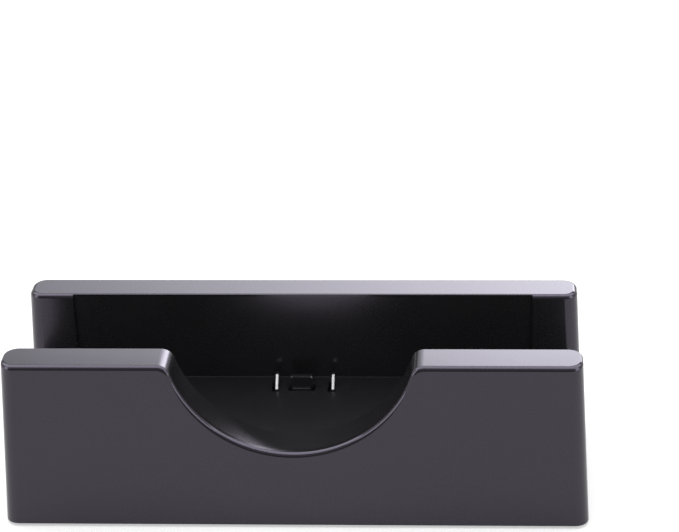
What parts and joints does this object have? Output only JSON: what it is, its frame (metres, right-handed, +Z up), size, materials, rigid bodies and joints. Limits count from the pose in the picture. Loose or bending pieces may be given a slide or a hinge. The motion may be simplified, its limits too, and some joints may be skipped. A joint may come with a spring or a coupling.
{
  "type": "handheld console dock",
  "caption": "Low charging dock with a full-width slot between two walls, a round finger notch in the front wall and sprung contacts in the slot floor.",
  "frame": {"origin": "under the middle of the dock, on the surface that its feet stand on", "axes": "+X to the right across the width, -Y towards the front with the notch, +Z up"},
  "size_m": [0.134, 0.0472, 0.0408],
  "materials": {
    "housing_plastic": "satin black moulded plastic with a fine even grain",
    "base_plastic": "black moulded plastic with a coarser grain",
    "carrier_plastic": "smooth black moulded plastic",
    "contact_metal": "bright nickel-plated spring metal",
    "spring_steel": "drawn spring wire",
    "board_laminate": "green coated glass-fibre laminate",
    "terminal_brass": "plated brass strip",
    "foot_rubber": "soft black rubber",
    "screw_steel": "dark zinc-plated steel"
  },
  "bodies": {
    "dock": {"upper_housing": "housing_plastic", "base_plate": "base_plastic", "contact_carrier": "carrier_plastic", "circuit_board": "board_laminate", "inlet_body": "carrier_plastic", "inlet_terminals": "terminal_brass", "base_screws": "screw_steel", "board_screws": "screw_steel", "contact_spring_left": "spring_steel", "contact_spring_right": "spring_steel", "foot_front_left": "foot_rubber", "foot_front_right": "foot_rubber", "foot_rear_left": "foot_rubber", "foot_rear_right": "foot_rubber"},
    "left_contact": {"contact_blade_left": "contact_metal"},
    "right_contact": {"contact_blade_right": "contact_metal"}
  },
  "joints": [
    {"name": "left_contact_press", "type": "slide", "parent": "dock", "child": "left_contact", "axis": [0, 0, -1], "range_m": [0, 0.002], "stiffness_N_per_m": 400, "springref_m": -0.001, "deforming": ["contact_spring_left"]},
    {"name": "right_contact_press", "type": "slide", "parent": "dock", "child": "right_contact", "axis": [0, 0, -1], "range_m": [0, 0.002], "stiffness_N_per_m": 400, "springref_m": -0.001, "deforming": ["contact_spring_right"]}
  ]
}
